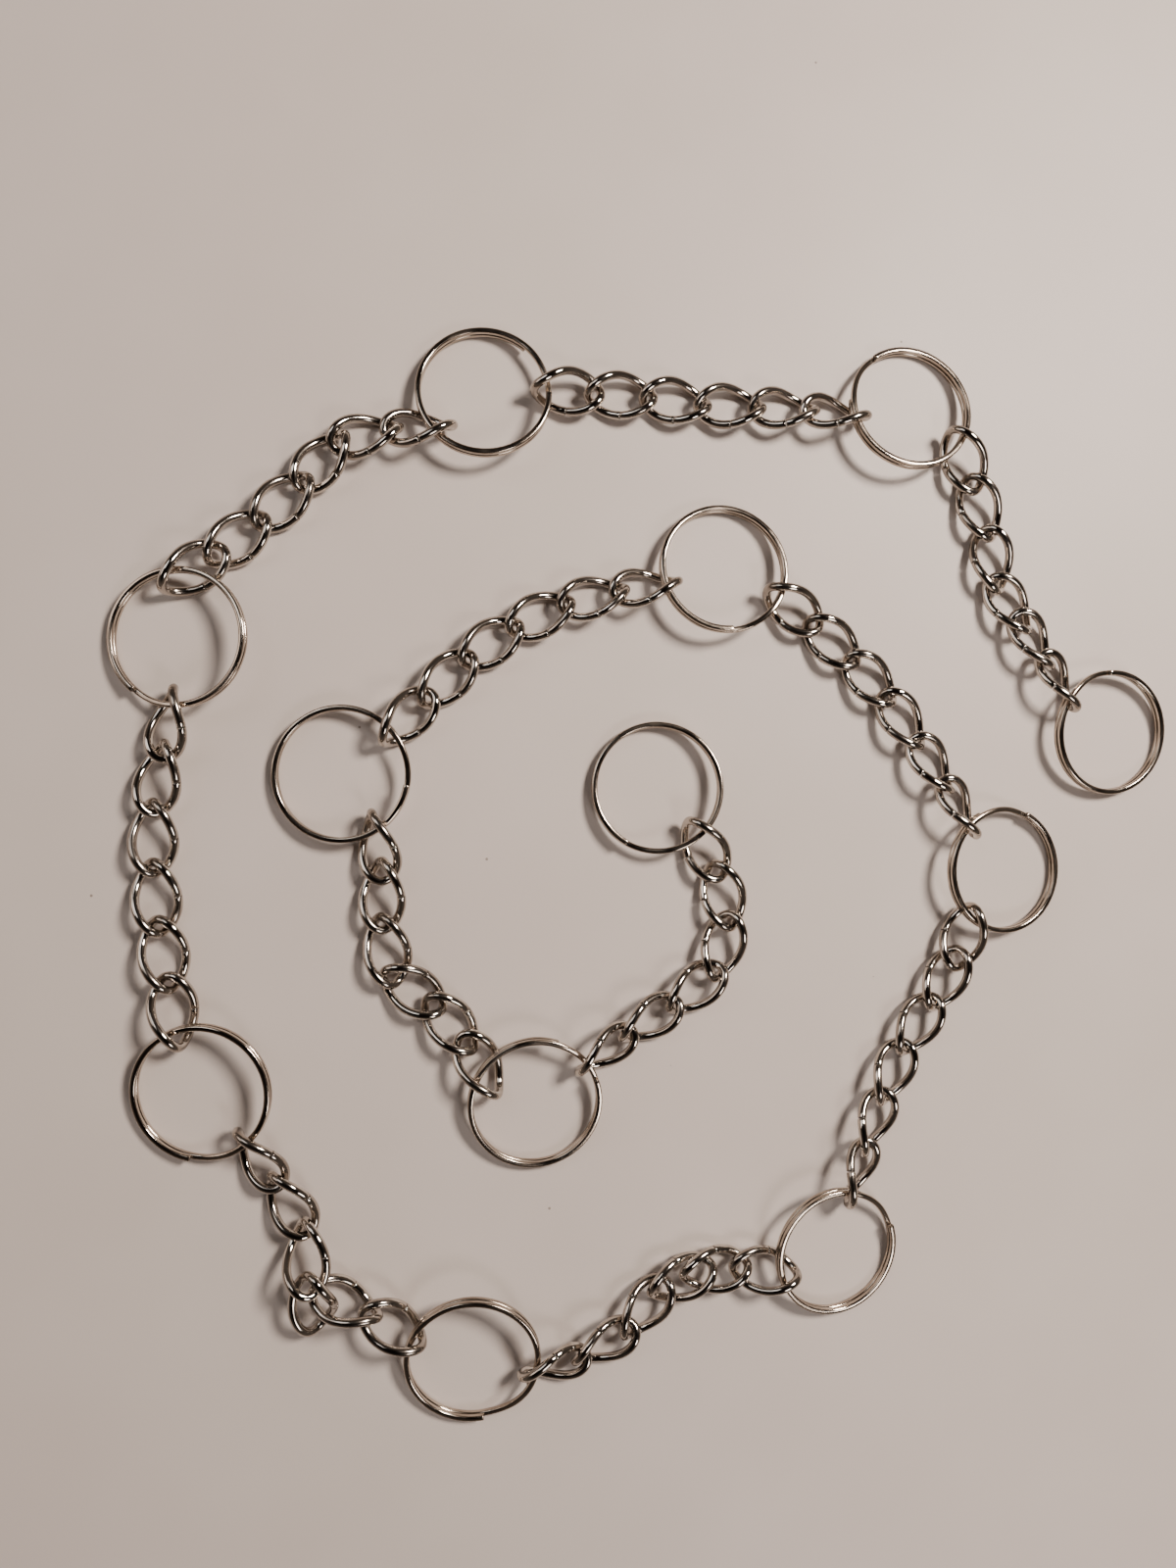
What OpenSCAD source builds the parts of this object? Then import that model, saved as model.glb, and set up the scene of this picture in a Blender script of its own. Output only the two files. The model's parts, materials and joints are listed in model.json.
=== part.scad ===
// Ring and link chain: split rings joined by runs of six twisted links, lying loose in a spiral.
// Millimetres, +Z up. The origin is the middle of the laid chain's footprint, on the surface it lies on.

/* [Links] */
// Diameter of the link wire
link_wire = 2; // [1.65:0.05:2.05]
// Outer length of one link
link_length = 17.2; // [16.6:0.2:18.6]
// Outer width of one link
link_width = 10.8; // [10.6:0.2:13]
// Turn of each link end out of the link's own plane, in degrees
link_twist = 45; // [44:1:50]
// Gap between the butted ends of the bent link wire
butt_gap = 0.1; // [0.05:0.05:0.3]

/* [Rings] */
// Outer diameter of a split ring
ring_od = 30; // [26:0.5:36]
// Width of the ring wire, measured along the ring's radius
ring_wire_w = 1.3; // [1.05:0.05:1.6]
// Height of one turn of the ring wire
ring_wire_h = 1.2; // [1:0.05:1.3]
// Gap between the two turns of a ring
turn_gap = 0.05; // [0.02:0.01:0.1]
// Arc over which the wire climbs from the lower turn to the upper one, in degrees
climb_arc = 50; // [40:1:60]

/* [Play] */
// Play between two hooked links
link_play = 0.5; // [0.4:0.05:0.8]
// Play between a ring and the link end that hangs in it
ring_play = 1; // [0.8:0.1:1.4]
// Clearance of the lowest link from the surface
rest_clearance = 0.05; // [0:0.05:0.2]

/* [Detail] */
// Number of flats around the link wire
link_sides = 8; // [6:1:10]
// Number of stations along one link's wire
link_stations = 17; // [15:1:21]

/* [Hidden] */
half_l = (link_length - link_wire) / 2;    // centreline half length of a link
half_w = (link_width - link_wire) / 2;     // centreline half width of a link
ring_r = (ring_od - ring_wire_w) / 2;      // centreline radius of a ring
layer = ring_wire_h + turn_gap;            // spacing of a ring's two turns
hook_reach = (link_wire + ring_wire_w) / 2 + ring_play;
flat_radius = sqrt(2 * PI / (link_sides * sin(360 / link_sides))) * link_wire / 2;

// Half the height of a link that is rolled by this many degrees
function half_height(roll) = link_wire / 2
    + max([for (a = [0 : 5 : 180]) half_w * sin(a) * abs(sin(roll - link_twist * cos(a)))]);

link_z = half_height(0) + rest_clearance;      // height of a hook between two links
ring_z = ring_wire_h + turn_gap / 2;           // height of a ring's middle where it touches down
hook_z = link_z + link_wire + 0.1;             // height of a ring's middle where a link holds it up

// Where the outer end ring lies
CHAIN_START = [108, 31];

// The lay of the chain, from its outer end to its inner end. Each run is: the direction in which it
// leaves its outer ring, its six links as [heading, extra slack, roll, lift of the far tip], the slack
// at its inner ring, and the direction from there to that ring's centre. Degrees and millimetres.
LEAVE = 0;
LINKS = 1;
END_SLACK = 2;
ARRIVE = 3;
HEADING = 0;
SLACK = 1;
ROLL = 2;
LIFT = 3;
RUNS = [
    [145, [[120, 0.5, 40, 1.1], [125, 1, 22, 0.8], [125, 2.5, 8, 0.2],
           [100, 1, 0, 0.3], [110, 0, -10, 0.6], [115, 1, -25, 0]], 1, 145],
    [190, [[175, 0.5, 40, 1.1], [180, 0.5, 22, 0.8], [180, 0, 8, 0.2],
           [175, 0, 0, 0.3], [180, 0, -10, 0.6], [180, 0.5, -25, 0]], 0.5, 185],
    [215, [[185, 2.5, 40, 1.1], [195, 1, 22, 0.8], [230, 1, 12, 0.2],
           [225, 0.5, 0, 0.3], [220, 0, -10, 0.6], [215, 1.5, -25, 0]], 4, 260],
    [265, [[260, 1, 40, 1.1], [260, 1, 22, 0.8], [270, 0, 8, 0.2],
           [275, 0, 0, 0.3], [280, 0.5, -10, 0.6], [280, 0.5, -25, 0]], 1, 290],
    [310, [[305, 0.5, 40, 1.1], [300, 0.5, 22, 0.8], [275, 0.5, 20, 6],
           [270, 1.5, 5, -0.3], [335, 0, -50, 3], [325, 1, -25, 0]], 0, 335],
    [345, [[10, 0.5, 40, 1.1], [25, 0.5, 22, 0.8], [50, 0.5, 8, 0.2],
           [20, 2, 0, 0.3], [5, 4.5, -5, 0.6], [350, 1, -20, 0]], 1.5, 15],
    [75, [[70, 0.5, 40, 1.1], [70, 0.5, 22, 0.8], [65, 0.5, 8, 0.2],
          [55, 0, 0, 0.3], [60, 0, -10, 0.6], [75, 2, -25, 0]], 0, 50],
    [130, [[120, 0.5, 40, 1.1], [125, 0.5, 22, 0.8], [125, 0, 8, 0.2],
           [135, 0.5, 0, 0.3], [140, 0, -10, 0.6], [145, 0.5, -25, 0]], 0.5, 155],
    [195, [[190, 0.5, 40, 1.1], [195, 0.5, 22, 0.8], [205, 0, 8, 0.2],
           [215, 0, 0, 0.3], [225, 0, -10, 0.6], [225, 0.5, -25, 0]], 0.5, 220],
    [300, [[280, 1.5, 40, 1.1], [270, 2, 22, 0.8], [280, 0.5, 8, 0.2],
           [325, 1, 0, 0.3], [310, 1.5, -10, 0.6], [300, 1.5, -25, 0]], 4, 325],
    [35, [[35, 0, 40, 1.1], [30, 0.5, 22, 0.8], [35, 0, 8, 0.2],
          [75, 0.5, 0, 0.3], [105, 0.5, -10, 0.6], [120, 1, -25, 0]], 1.5, 130],
];

// In the fifth run, the fourth link lies out to the side: the links before and after it both hook
// into its near end. Its near tip is shifted across, and the next link's tip lies along and below it.
SIDE_RUN = 4;
SIDE_LINK = 3;
side_shift = 1;
side_along = link_length / 4 + 0.2;
side_drop = 2;

// Where each ring's wire climbs from one turn to the other, as a direction from its centre
CLIMB_AT = [120, 150, 25, 255, 285, 305, 45, 90, 300, 15, 45, 265];

function flat(a) = [cos(a), sin(a), 0];
function unit(v) = v / norm(v);
function last(list) = list[len(list) - 1];
function at_height(p, z) = [p.x, p.y, z];

// The tip where link i of a run ends, for a given near tip
function far_tip(run, i, near) =
    let(link = run[LINKS][i])
    let(z = i == 5 ? hook_z : link_z + link[LIFT])
    let(reach = sqrt(pow(2 * half_l, 2) - pow(z - near.z, 2)))
    at_height(near + reach * flat(link[HEADING]), z);

// The near tip of the link after link i: just inside link i's far end, or inside the side link's near end
function next_tip(r, i, near, far) =
    let(a = RUNS[r][LINKS][i], b = RUNS[r][LINKS][i + 1])
    let(back = link_wire + link_play + b[SLACK])
    let(across = r == SIDE_RUN && i + 1 == SIDE_LINK ? side_shift : 0)
    r == SIDE_RUN && i == SIDE_LINK
        ? near + side_along * unit(far - near) - [0, 0, side_drop]
        : far - back * unit(flat(a[HEADING]) + flat(b[HEADING])) + across * flat(b[HEADING] + 90);

// Run r's links as [near tip, far tip], from link i on
function link_tips(r, near, i = 0) =
    let(far = far_tip(RUNS[r], i, near))
    concat([[near, far]], i == 5 ? [] : link_tips(r, next_tip(r, i, near, far), i + 1));

// The near tip of run r's first link, for its outer ring's centre, and the inner ring's centre
function run_start(r, centre) =
    at_height(centre + ring_r * flat(RUNS[r][LEAVE]), hook_z)
    - (hook_reach + RUNS[r][LINKS][0][SLACK]) * flat(RUNS[r][LINKS][0][HEADING]);
function run_end(r, tips) =
    let(tip = last(tips)[1] - (hook_reach + RUNS[r][END_SLACK]) * flat(last(RUNS[r][LINKS])[HEADING]))
    at_height(tip + ring_r * flat(RUNS[r][ARRIVE]), 0);

// The whole chain as [ring centre in plan, the tips of the links after it]
function chain_from(r, centre) =
    r == len(RUNS) ? [[centre, []]]
    : let(tips = link_tips(r, run_start(r, centre)))
      concat([[centre, tips]], chain_from(r + 1, run_end(r, tips)));
CHAIN = chain_from(0, [CHAIN_START.x, CHAIN_START.y, 0]);

// A ring leans: it is held up where links hang in it, and touches down on the other side
function holds(i) = [
    if (i > 0) -flat(RUNS[i - 1][ARRIVE]),
    if (i < len(RUNS)) flat(RUNS[i][LEAVE]),
];
function rise_dir(i) = let(h = holds(i)) unit(len(h) == 1 ? h[0] : h[0] + h[1]);
function ring_slope(i) = (hook_z - ring_z) / (ring_r * (1 + holds(i)[0] * rise_dir(i)));
function ring_middle(i) = at_height(CHAIN[i][0], ring_z + ring_r * ring_slope(i));

// Place in one link's own frame of its centreline at angle a, and the link's plane there
function link_turn(a, roll) = roll - link_twist * cos(a);
function link_point(a, roll) = let(t = link_turn(a, roll))
    [half_l * cos(a), half_w * sin(a) * cos(t), half_w * sin(a) * sin(t)];
function plane_normal(a, roll) = let(t = link_turn(a, roll)) [0, -sin(t), cos(t)];

// The ring of points around the wire at angle a
function wire_section(a, roll) =
    let(p = link_point(a, roll))
    let(along = unit(link_point(a + 0.1, roll) - link_point(a - 0.1, roll)))
    let(n = plane_normal(a, roll))
    let(up = unit(n - (n * along) * along), out = cross(up, along))
    [for (s = [0 : link_sides - 1]) let(b = 360 * (s + 0.5) / link_sides)
        p + flat_radius * (cos(b) * out + sin(b) * up)];

// One twisted link about the origin, its long axis along X. Its wire ends meet in the middle of one side.
module link(roll) {
    half_gap = butt_gap / 2 / half_l * 180 / PI;
    step = (360 - 2 * half_gap) / (link_stations - 1);
    points = [for (k = [0 : link_stations - 1]) each wire_section(90 + half_gap + k * step, roll)];
    walls = [for (k = [0 : link_stations - 2], s = [0 : link_sides - 1])
        let(a = k * link_sides, t = (s + 1) % link_sides)
        each [[a + s, a + t, a + link_sides + t], [a + s, a + link_sides + t, a + link_sides + s]]];
    first_end = [for (s = [link_sides - 1 : -1 : 0]) s];
    last_end = [for (s = [0 : link_sides - 1]) (link_stations - 1) * link_sides + s];
    polyhedron(points, concat(walls, [first_end, last_end]));
}

// Run r's link i where it lies
module placed_link(r, i) {
    near = CHAIN[r][1][i][0];
    far = CHAIN[r][1][i][1];
    heading = RUNS[r][LINKS][i][HEADING];
    translate((near + far) / 2)
        rotate([0, -asin(unit(far - near).z), heading])
            link(RUNS[r][LINKS][i][ROLL]);
}

module link_group(r, members) {
    color("#8d8983") for (i = members) placed_link(r, i);
}

// Round wire rolled flat on four sides
module ring_profile() {
    intersection() {
        circle(r = 0.58 * ring_wire_w, $fn = 48);
        square([ring_wire_w, ring_wire_h], center = true);
    }
}

module ring_arc(from, arc) {
    rotate(from) rotate_extrude(angle = arc, $fn = 96) translate([ring_r, 0]) ring_profile();
}

// Two turns one above the other, and the climb between them, about +X
module split_ring() {
    climb = asin(layer / (2 * ring_r * sin(climb_arc / 2)));
    lap = 1.5;
    for (side = [-1, 1]) translate([0, 0, side * layer / 2])
        ring_arc(climb_arc / 2, 360 - climb_arc);
    rotate([climb, 0, 0]) ring_arc(-climb_arc / 2 - lap, climb_arc + 2 * lap);
}

// Ring i where it lies, leaning about the level line across its rise
module ring(i) {
    up = rise_dir(i);
    color("#a59d94") translate(ring_middle(i))
        rotate(a = atan(ring_slope(i)), v = [up.y, -up.x, 0])
            rotate(CLIMB_AT[i]) split_ring();
}

// Two links share a node where neither hangs in a ring
GROUPS = [["link_1", [0]], ["links_2_3", [1, 2]], ["links_4_5", [3, 4]], ["link_6", [5]]];
function ring_node(i) = str("ring_", i + 1);
function group_node(r, g) = str("run_", r + 1, "_", g[0]);

for (i = [0 : len(RUNS)])
    ring(i);
for (r = [0 : len(RUNS) - 1], g = GROUPS)
    link_group(r, g[1]);
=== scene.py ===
import json
import math

import bpy
import numpy as np
from mathutils import Matrix, Vector


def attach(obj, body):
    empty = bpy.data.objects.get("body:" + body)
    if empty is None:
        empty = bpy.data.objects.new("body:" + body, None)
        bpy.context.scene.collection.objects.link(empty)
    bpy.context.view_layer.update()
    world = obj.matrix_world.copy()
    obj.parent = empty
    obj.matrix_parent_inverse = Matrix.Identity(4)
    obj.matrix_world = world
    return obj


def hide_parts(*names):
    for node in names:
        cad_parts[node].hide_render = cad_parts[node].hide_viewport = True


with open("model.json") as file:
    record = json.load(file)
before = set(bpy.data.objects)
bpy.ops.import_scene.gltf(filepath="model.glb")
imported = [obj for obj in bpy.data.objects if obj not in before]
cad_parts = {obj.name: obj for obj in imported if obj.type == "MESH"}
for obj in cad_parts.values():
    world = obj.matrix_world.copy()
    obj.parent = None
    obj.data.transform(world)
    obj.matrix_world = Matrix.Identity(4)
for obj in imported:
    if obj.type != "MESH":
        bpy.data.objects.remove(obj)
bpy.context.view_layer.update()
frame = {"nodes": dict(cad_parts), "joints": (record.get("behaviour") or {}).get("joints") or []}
mm = 0.001
weldWithin = 0.001 * mm
smoothAngle = math.radians(40)  # edges sharper than this stay crisp


def deselectAll():
    if bpy.context.object and bpy.context.object.mode != "OBJECT":
        bpy.ops.object.mode_set(mode="OBJECT")
    bpy.ops.object.select_all(action="DESELECT")


def makeActive(piece):
    deselectAll()
    piece.select_set(True)
    bpy.context.view_layer.objects.active = piece


def applyModifiers(piece):
    makeActive(piece)
    for modifier in list(piece.modifiers):
        bpy.ops.object.modifier_apply(modifier=modifier.name)


def copyPiece(master, name, place):  # each copy has its own mesh, with its place in the mesh
    piece = bpy.data.objects.new(name, master.data.copy())
    bpy.context.scene.collection.objects.link(piece)
    piece.data.transform(place)
    return piece


# camera

cameraSettings = {
    "lens": 26,              # mm, a phone's wide lens
    "longSide": 36,          # mm, the long side of the sensor
    "aim": (-19.3, 18.5),    # mm, where the middle of the view meets the table
    "height": 253.8,         # mm above the table
    "toLeft": 40.2,          # mm, how far left of the aim the camera is held
}
cameraData = bpy.data.cameras.new("camera")
cameraData.lens = cameraSettings["lens"]
cameraData.sensor_width = cameraSettings["longSide"]
cameraData.clip_start = 10 * mm
camera = bpy.data.objects.new("camera", cameraData)
bpy.context.scene.collection.objects.link(camera)
aim = Vector((cameraSettings["aim"][0], cameraSettings["aim"][1], 0)) * mm
camera.location = aim + Vector((-cameraSettings["toLeft"], 0, cameraSettings["height"])) * mm
lookAlong = (aim - camera.location).normalized()
rightOf = lookAlong.cross(Vector((0, 1, 0))).normalized()
upOf = rightOf.cross(lookAlong)
camera.rotation_euler = Matrix((rightOf, upOf, -lookAlong)).transposed().to_euler()
bpy.context.scene.camera = camera
print("camera placed")


# materials

def linear(hexColour):  # sRGB hex to the linear values that shaders take
    channels = [int(hexColour[i:i + 2], 16) / 255 for i in (1, 3, 5)]
    return [c / 12.92 if c <= 0.04045 else ((c + 0.055) / 1.055) ** 2.4 for c in channels] + [1]


def addNode(tree, kind, settings={}, links={}):  # settings name a property, or an input by name or number
    node = tree.nodes.new(kind)  # properties go first, since they can change which inputs are in use
    for name, value in settings.items():
        if isinstance(name, str) and hasattr(node, name):
            setattr(node, name, value)
    for name, value in settings.items():
        if not (isinstance(name, str) and hasattr(node, name)):
            node.inputs[name].default_value = value
    for name, source in links.items():
        tree.links.new(source, node.inputs[name])
    return node


nickelSettings = {
    "linkColours": ("#9a9188", "#c6beb5"),   # nickel is a little warmer than steel, and duller in patches
    "ringColours": ("#9c8f82", "#c4b8ab"),
    "linkRoughness": (0.20, 0.07),           # in the dull patches, and where the plating is clean
    "ringRoughness": (0.25, 0.11),
    "patch": 6.0,         # mm, patches of handling and tarnish
    "dullBelow": 0.35,    # the patch pattern runs from 0 to 1
    "cleanAbove": 0.6,
    "mark": 0.3,          # mm, fine marks, drawn coarser than the real ones so that they show
    "markDepth": 0.01,    # mm
    "markStrength": 0.2,
    "wave": 0.015,        # mm, how far the plated face is out of true
    "waveStrength": 0.6,
}


def startMaterial(name):  # a new material with its nodes, its shader and the places on the piece
    material = bpy.data.materials.new(name)
    material.use_nodes = True
    tree = material.node_tree
    where = addNode(tree, "ShaderNodeTexCoord").outputs["Object"]
    return material, tree, tree.nodes["Principled BSDF"], where


def platedNickel(name, colours, roughness):
    # electroplated nickel on drawn wire: nearly a mirror, with dull patches, faint marks and a wavy face
    metal = nickelSettings
    material, tree, shader, where = startMaterial(name)
    patch = addNode(tree, "ShaderNodeTexNoise", {"Scale": 1 / (metal["patch"] * mm), "Detail": 3.0},
                    {"Vector": where}).outputs["Fac"]
    mark = addNode(tree, "ShaderNodeTexNoise", {"Scale": 1 / (metal["mark"] * mm), "Detail": 2.0},
                   {"Vector": where}).outputs["Fac"]
    clean = addNode(tree, "ShaderNodeMapRange",
                    {"From Min": metal["dullBelow"], "From Max": metal["cleanAbove"]},
                    {"Value": patch}).outputs["Result"]
    tint = addNode(tree, "ShaderNodeMix",
                   {"data_type": "RGBA", 6: linear(colours[0]), 7: linear(colours[1])},
                   {0: clean}).outputs[2]
    rough = addNode(tree, "ShaderNodeMapRange", {"To Min": roughness[0], "To Max": roughness[1]},
                    {"Value": clean}).outputs["Result"]
    fine = addNode(tree, "ShaderNodeBump",
                   {"Strength": metal["markStrength"], "Distance": metal["markDepth"] * mm},
                   {"Height": mark}).outputs["Normal"]
    wavy = addNode(tree, "ShaderNodeBump",
                   {"Strength": metal["waveStrength"], "Distance": metal["wave"] * mm},
                   {"Height": patch, "Normal": fine}).outputs["Normal"]
    tree.links.new(tint, shader.inputs["Base Color"])
    tree.links.new(rough, shader.inputs["Roughness"])
    tree.links.new(wavy, shader.inputs["Normal"])
    shader.inputs["Metallic"].default_value = 1.0
    return material


cutSettings = {
    "colours": ("#4e4843", "#857c73"),
    "roughness": 0.5,
    "grain": 0.2,         # mm
    "tornDepth": 0.05,    # mm
    "tornStrength": 0.6,
}


def shearedSteel(name):
    # wire ends cut by a shear: bare steel, grey and torn, with no plating over the cut
    cut = cutSettings
    material, tree, shader, where = startMaterial(name)
    grain = addNode(tree, "ShaderNodeTexNoise", {"Scale": 1 / (cut["grain"] * mm), "Detail": 2.0},
                    {"Vector": where}).outputs["Fac"]
    tint = addNode(tree, "ShaderNodeMix",
                   {"data_type": "RGBA", 6: linear(cut["colours"][0]), 7: linear(cut["colours"][1])},
                   {0: grain}).outputs[2]
    torn = addNode(tree, "ShaderNodeBump",
                   {"Strength": cut["tornStrength"], "Distance": cut["tornDepth"] * mm},
                   {"Height": grain}).outputs["Normal"]
    tree.links.new(tint, shader.inputs["Base Color"])
    tree.links.new(torn, shader.inputs["Normal"])
    shader.inputs["Metallic"].default_value = 1.0
    shader.inputs["Roughness"].default_value = cut["roughness"]
    return material


linkNickel = platedNickel("nickelPlatedLinkWire", nickelSettings["linkColours"],
                          nickelSettings["linkRoughness"])
ringNickel = platedNickel("nickelPlatedSpringWire", nickelSettings["ringColours"],
                          nickelSettings["ringRoughness"])
cutSteel = shearedSteel("shearedSteelEnd")
print("metals made")


# where the frame holds each solid

weldSteps = 1e7  # per metre: points are matched to the nearest ten-thousandth of a millimetre


def looseSolids(node):  # the points of each separate solid in a node
    mesh = frame["nodes"][node].data
    points = np.array([v.co for v in mesh.vertices], float)
    unique, index = np.unique(np.round(points * weldSteps), axis=0, return_inverse=True)
    unique, index = unique / weldSteps, index.ravel()
    group = list(range(len(unique)))

    def head(i):
        while group[i] != i:
            group[i] = group[group[i]]
            i = group[i]
        return i

    for polygon in mesh.polygons:
        first = head(index[polygon.vertices[0]])
        for corner in polygon.vertices[1:]:
            group[head(index[corner])] = first
    heads = np.array([head(i) for i in range(len(unique))])
    return [unique[heads == h] for h in sorted(set(heads))]


def ownAxes(points):  # the middle of the points along their own axes, and those axes, longest first
    mean = points.mean(0)
    axes = np.linalg.eigh(np.cov((points - mean).T))[1][:, ::-1].T
    along = (points - mean) @ axes.T
    return mean + ((along.min(0) + along.max(0)) / 2) @ axes, axes


def placeOf(middle, xAxis, zAxis):
    yAxis = np.cross(zAxis, xAxis)
    columns = [Vector(a) for a in (xAxis, yAxis, zAxis)]
    place = Matrix(columns).transposed().to_4x4()
    place.translation = Vector(middle)
    return place


hingeAt = {j["name"]: np.array(j["pos_m"], float) for j in frame["joints"]}


# the link: an oval of wire, twisted, with its two ends butted in the middle of one side

linkSettings = {
    "wire": 2.0,          # mm, diameter of the wire
    "length": 17.2,       # mm, over the ends
    "width": 10.8,        # mm, over the sides
    "twist": 45,          # degrees that each end is turned
    "buttGap": 0.14,      # mm between the butted ends
    "pathPoints": 96,
    "roundness": 5,       # steps in the wire's own roundness
    "endRounding": 0.14,  # mm, the rolled-over edge of a sheared end
}


def modelLink():
    sizes = linkSettings
    halfLength = (sizes["length"] - sizes["wire"]) / 2 * mm
    halfWidth = (sizes["width"] - sizes["wire"]) / 2 * mm
    deselectAll()
    bpy.ops.mesh.primitive_circle_add(vertices=sizes["pathPoints"], radius=halfLength, fill_type="NOTHING")
    link = bpy.context.object
    link.name = "linkMaster"
    bpy.ops.object.mode_set(mode="EDIT")
    bpy.ops.mesh.select_all(action="SELECT")
    bpy.ops.transform.resize(value=(1, halfWidth / halfLength, 1))
    bpy.ops.mesh.select_all(action="DESELECT")
    bpy.ops.object.mode_set(mode="OBJECT")
    order = sorted(link.data.vertices, key=lambda v: -v.co.y)
    middle, besides = order[0], order[1:3]
    for end in besides:  # the wire's ends come up to the gap
        end.co = Vector((math.copysign(sizes["buttGap"] / 2 * mm, end.co.x), halfWidth, 0))
    middle.select = True
    bpy.ops.object.mode_set(mode="EDIT")
    bpy.ops.mesh.select_mode(type="VERT")
    bpy.ops.mesh.delete(type="VERT")
    bpy.ops.object.mode_set(mode="OBJECT")

    twist = link.modifiers.new("twist", "SIMPLE_DEFORM")
    twist.deform_method = "TWIST"
    twist.deform_axis = "X"
    twist.angle = -math.radians(2 * sizes["twist"])
    applyModifiers(link)

    bpy.ops.object.convert(target="CURVE")
    wire = link.data
    wire.dimensions = "3D"
    wire.fill_mode = "FULL"
    wire.bevel_depth = sizes["wire"] / 2 * mm
    wire.bevel_resolution = sizes["roundness"]
    wire.use_fill_caps = True
    makeActive(link)
    bpy.ops.object.convert(target="MESH")

    # close the two sheared ends and roll their edges over
    link.data.materials.append(linkNickel)
    link.data.materials.append(cutSteel)
    bpy.ops.object.mode_set(mode="EDIT")
    bpy.ops.mesh.select_all(action="SELECT")
    bpy.ops.mesh.remove_doubles(threshold=weldWithin)
    bpy.ops.mesh.normals_make_consistent(inside=False)
    bpy.ops.mesh.select_all(action="DESELECT")
    bpy.ops.object.mode_set(mode="OBJECT")
    for face in link.data.polygons:
        atEnd = abs(face.center.x) < sizes["wire"] * mm and face.center.y > halfWidth - sizes["wire"] * mm
        squareOn = abs(face.normal.x) > 0.8  # the cut faces look along the wire, its sides don't
        face.select = atEnd and squareOn
        face.material_index = 1 if face.select else 0
    bpy.ops.object.mode_set(mode="EDIT")
    bpy.ops.mesh.select_mode(type="FACE")
    bpy.ops.mesh.region_to_loop()
    bpy.ops.mesh.bevel(offset=sizes["endRounding"] * mm, segments=3, affect="EDGES", material=0)
    bpy.ops.mesh.select_all(action="SELECT")
    bpy.ops.mesh.faces_shade_smooth()
    bpy.ops.object.mode_set(mode="OBJECT")
    makeActive(link)
    bpy.ops.object.shade_smooth_by_angle(angle=smoothAngle)
    return link


linkMaster = modelLink()
print("link modelled,", len(linkMaster.data.polygons), "faces")


# the split ring: one rolled wire, around, up over its own end, and around again

ringSettings = {
    "outer": 30,          # mm, over the ring
    "wireWidth": 1.3,     # mm, along the ring's radius
    "wireHeight": 1.2,    # mm, one turn
    "turnGap": 0.05,      # mm between the turns
    "climbArc": 50,       # degrees over which the wire climbs to the upper turn
    "corner": 0.40,       # mm, rounding of the rolled wire's corners
    "cornerSteps": 3,
    "arcStep": 2.5,       # degrees
    "endRounding": 0.12,  # mm
}


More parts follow.
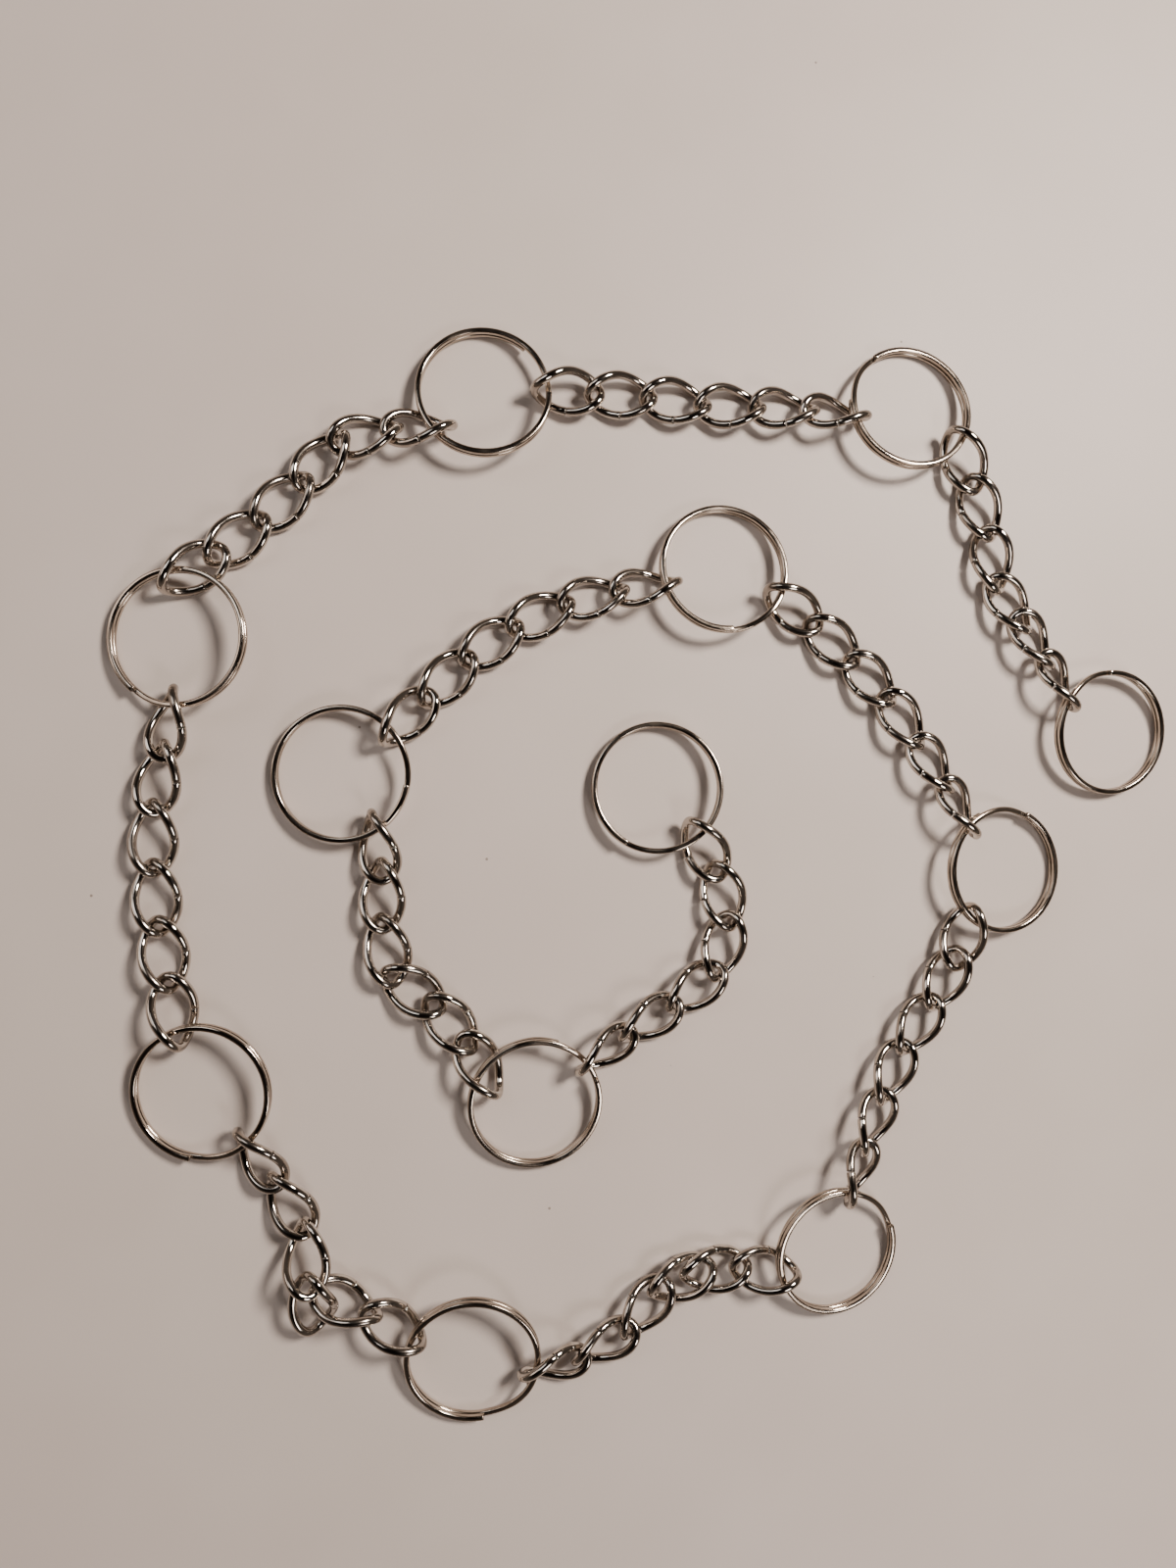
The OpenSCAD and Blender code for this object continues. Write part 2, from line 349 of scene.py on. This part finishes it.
def modelRing():
    sizes = ringSettings
    radius = (sizes["outer"] - sizes["wireWidth"]) / 2 * mm
    layer = (sizes["wireHeight"] + sizes["turnGap"]) * mm
    start = math.radians(sizes["climbArc"] / 2)
    arc = math.radians(360 - sizes["climbArc"])
    arcSteps = round((360 - sizes["climbArc"]) / sizes["arcStep"])
    climbSteps = round(sizes["climbArc"] / sizes["arcStep"])

    # the wire's section, stood up where the lower turn begins
    deselectAll()
    bpy.ops.mesh.primitive_plane_add(size=1)
    ring = bpy.context.object
    ring.name = "ringMaster"
    bpy.ops.object.mode_set(mode="EDIT")
    bpy.ops.mesh.select_mode(type="VERT")
    bpy.ops.mesh.select_all(action="SELECT")
    bpy.ops.transform.resize(value=(sizes["wireWidth"] * mm, sizes["wireHeight"] * mm, 1))
    bpy.ops.mesh.bevel(offset=sizes["corner"] * mm, segments=sizes["cornerSteps"], affect="VERTICES")
    bpy.ops.mesh.select_all(action="SELECT")
    bpy.ops.transform.rotate(value=math.pi / 2, orient_axis="X", center_override=(0, 0, 0))
    bpy.ops.transform.translate(value=(radius, 0, -layer / 2))
    bpy.ops.mesh.delete(type="ONLY_FACE")
    bpy.ops.mesh.select_all(action="SELECT")
    about = {"center": (0, 0, 0), "axis": (0, 0, -1)}  # spin turns clockwise about its axis
    bpy.ops.mesh.spin(steps=1, angle=start, **about)
    bpy.ops.mesh.select_all(action="INVERT")
    bpy.ops.mesh.delete(type="VERT")

    # the lower turn, the climb, and the upper turn
    bpy.ops.mesh.select_all(action="SELECT")
    bpy.ops.mesh.spin(steps=arcSteps, angle=arc, **about)
    for step in range(climbSteps):
        rise = [layer * (1 - math.cos(math.pi * k / climbSteps)) / 2 for k in (step, step + 1)]
        bpy.ops.mesh.spin(steps=1, angle=math.radians(sizes["arcStep"]), **about)
        bpy.ops.transform.translate(value=(0, 0, rise[1] - rise[0]))
    bpy.ops.mesh.spin(steps=arcSteps, angle=arc, **about)

    # close the two cut ends and round their edges
    sameAngle = 0.001  # radians
    for side in (-1, 1):
        bpy.ops.mesh.select_all(action="DESELECT")
        bpy.ops.object.mode_set(mode="OBJECT")
        for vertex in ring.data.vertices:
            atEnd = abs(math.atan2(vertex.co.y, vertex.co.x) + side * start) < sameAngle
            vertex.select = atEnd and vertex.co.z * side > 0
        bpy.ops.object.mode_set(mode="EDIT")
        bpy.ops.mesh.edge_face_add()
    bpy.ops.mesh.select_all(action="SELECT")
    bpy.ops.mesh.normals_make_consistent(inside=False)
    bpy.ops.mesh.select_all(action="DESELECT")
    bpy.ops.object.mode_set(mode="OBJECT")
    ring.data.materials.append(ringNickel)
    ring.data.materials.append(cutSteel)
    for face in ring.data.polygons:
        face.select = len(face.vertices) > 4
        face.material_index = 1 if face.select else 0
    bpy.ops.object.mode_set(mode="EDIT")
    bpy.ops.mesh.select_mode(type="FACE")
    bpy.ops.mesh.region_to_loop()
    bpy.ops.mesh.bevel(offset=sizes["endRounding"] * mm, segments=2, affect="EDGES", material=0)
    bpy.ops.object.mode_set(mode="OBJECT")
    makeActive(ring)
    bpy.ops.object.shade_smooth_by_angle(angle=smoothAngle)
    return ring


ringMaster = modelRing()
print("split ring modelled,", len(ringMaster.data.polygons), "faces")


# copies, each where the frame holds its solid

def surfaceMiddle(node):  # the middle of a node's surface, by area
    mesh = frame["nodes"][node].data
    areas = [face.area for face in mesh.polygons]
    return sum((face.center * a for face, a in zip(mesh.polygons, areas)), Vector()) / sum(areas)


ringCount = sum(name.startswith("ring_") for name in frame["nodes"])
for number in range(1, ringCount + 1):
    node = f"ring_{number}"
    middle, axes = ownAxes(looseSolids(node)[0])
    up = axes[2] * np.sign(axes[2][2])
    lighter = np.array(middle - np.array(surfaceMiddle(node)))  # the climb is where there is least wire
    towardsClimb = lighter - (lighter @ up) * up
    place = placeOf(middle, towardsClimb / np.linalg.norm(towardsClimb), up)
    ring = copyPiece(ringMaster, f"{node}_wire", place)
    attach(ring, node)
    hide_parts(node)

pairs = {"link_1": (1,), "links_2_3": (2, 3), "links_4_5": (4, 5), "link_6": (6,)}
endsOf = {"link_1": ("outer_ring_hinge", "hinge_1_2"), "links_2_3": ("hinge_1_2", "hinge_3_4"),
          "links_4_5": ("hinge_3_4", "hinge_5_6"), "link_6": ("hinge_5_6", "inner_ring_hinge")}
for run in range(1, ringCount):
    for group, members in pairs.items():
        node = f"run_{run}_{group}"
        outer, inner = (hingeAt[f"run_{run}_{name}"] for name in endsOf[group])
        solids = sorted((ownAxes(points) for points in looseSolids(node)),
                        key=lambda found: (found[0] - outer) @ (inner - outer))
        for member, (middle, axes) in zip(members, solids):
            along = axes[0] * np.sign(axes[0] @ (inner - outer))
            up = axes[2] * np.sign(axes[2][2])
            link = copyPiece(linkMaster, f"run_{run}_link_{member}_wire", placeOf(middle, along, up))
            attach(link, node)
            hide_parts(node)

for master in (linkMaster, ringMaster):
    bpy.data.objects.remove(master)
print("rings and links placed")


# the table: a pale laminate, with the faint mottle and dust of a used surface

tableSettings = {
    "size": 3.0,             # m
    "colours": ("#beb3ab", "#c8beb7"),
    "roughness": 0.5,
    "mottle": 40,            # mm
    "pebble": 0.9,           # mm, the laminate's pressed texture
    "pebbleDepth": 0.05,     # mm
    "pebbleStrength": 0.25,
    "dustColour": "#8b8077",
    "dustCell": 7,           # mm, there is a place for one speck in each cell of this size
    "speckRadius": 0.045,    # of a cell
    "bareCells": 0.96,       # share of the cells with no speck
}


def paleLaminate(name):
    # pressed laminate: matt, with a fine pebbled face that gives a soft sheen
    laminate = tableSettings
    material, tree, shader, where = startMaterial(name)
    mottle = addNode(tree, "ShaderNodeTexNoise", {"Scale": 1 / (laminate["mottle"] * mm), "Detail": 2.0},
                     {"Vector": where}).outputs["Fac"]
    pebble = addNode(tree, "ShaderNodeTexNoise", {"Scale": 1 / (laminate["pebble"] * mm), "Detail": 2.0},
                     {"Vector": where}).outputs["Fac"]
    cells = addNode(tree, "ShaderNodeTexVoronoi", {"Scale": 1 / (laminate["dustCell"] * mm)},
                    {"Vector": where}).outputs
    near = addNode(tree, "ShaderNodeMath", {"operation": "LESS_THAN", 1: laminate["speckRadius"]},
                   {0: cells["Distance"]}).outputs[0]
    few = addNode(tree, "ShaderNodeSeparateColor", {}, {"Color": cells["Color"]}).outputs[0]
    some = addNode(tree, "ShaderNodeMath", {"operation": "GREATER_THAN", 1: laminate["bareCells"]},
                   {0: few}).outputs[0]
    speck = addNode(tree, "ShaderNodeMath", {"operation": "MULTIPLY"}, {0: near, 1: some}).outputs[0]
    darker, paler = (linear(colour) for colour in laminate["colours"])
    base = addNode(tree, "ShaderNodeMix", {"data_type": "RGBA", 6: darker, 7: paler},
                   {0: mottle}).outputs[2]
    dusty = addNode(tree, "ShaderNodeMix", {"data_type": "RGBA", 7: linear(laminate["dustColour"])},
                    {0: speck, 6: base}).outputs[2]
    bump = addNode(tree, "ShaderNodeBump",
                   {"Strength": laminate["pebbleStrength"], "Distance": laminate["pebbleDepth"] * mm},
                   {"Height": pebble}).outputs["Normal"]
    tree.links.new(dusty, shader.inputs["Base Color"])
    tree.links.new(bump, shader.inputs["Normal"])
    shader.inputs["Roughness"].default_value = laminate["roughness"]
    return material


deselectAll()
bpy.ops.mesh.primitive_plane_add(size=tableSettings["size"])
table = bpy.context.object
table.name = "table"
table.data.materials.append(paleLaminate("paleLaminate"))
print("table laid")


# light: a soft lamp from the upper right, fainter ones around it, and a warm room with a dark ceiling

lightSettings = {
    "key": {"from": (0.46, 0.36, 0.70), "size": 0.24, "power": 13.5, "colour": "#fff1e6"},
    "second": {"from": (0.40, -0.60, 0.75), "size": 0.34, "power": 2.8, "colour": "#fff4ee"},
    "window": {"from": (-0.55, 0.50, 0.85), "size": 0.5, "power": 1.5, "colour": "#f4f2f2"},
    "fill": {"from": (-1.1, 0.4, 0.6), "size": 0.7, "power": 2, "colour": "#ffeee4"},
    "ceiling": "#1c1512",
    "walls": "#8d7f74",
    "wallsBelow": 0.25,      # how steeply up a direction points, 0 level and 1 straight up
    "ceilingAbove": 0.75,
    "roomStrength": 0.48,
}
for name in ("key", "second", "window", "fill"):
    settings = lightSettings[name]
    lamp = bpy.data.lights.new(name, "AREA")
    lamp.shape = "DISK"
    lamp.size = settings["size"]
    lamp.energy = settings["power"]
    lamp.color = linear(settings["colour"])[:3]
    lampObject = bpy.data.objects.new(name, lamp)
    bpy.context.scene.collection.objects.link(lampObject)
    lampObject.location = Vector(settings["from"])
    lampObject.rotation_euler = Vector(settings["from"]).to_track_quat("Z", "Y").to_euler()
world = bpy.data.worlds.new("room")
bpy.context.scene.world = world
world.use_nodes = True
background = world.node_tree.nodes["Background"]
towards = addNode(world.node_tree, "ShaderNodeTexCoord").outputs["Generated"]
height = addNode(world.node_tree, "ShaderNodeSeparateXYZ", {}, {"Vector": towards}).outputs["Z"]
overhead = addNode(world.node_tree, "ShaderNodeMapRange",
                   {"From Min": lightSettings["wallsBelow"], "From Max": lightSettings["ceilingAbove"]},
                   {"Value": height}).outputs["Result"]
walls, ceiling = (linear(lightSettings[name]) for name in ("walls", "ceiling"))
room = addNode(world.node_tree, "ShaderNodeMix", {"data_type": "RGBA", 6: walls, 7: ceiling},
               {0: overhead}).outputs[2]
world.node_tree.links.new(room, background.inputs["Color"])
background.inputs["Strength"].default_value = lightSettings["roomStrength"]
print("lamps lit")
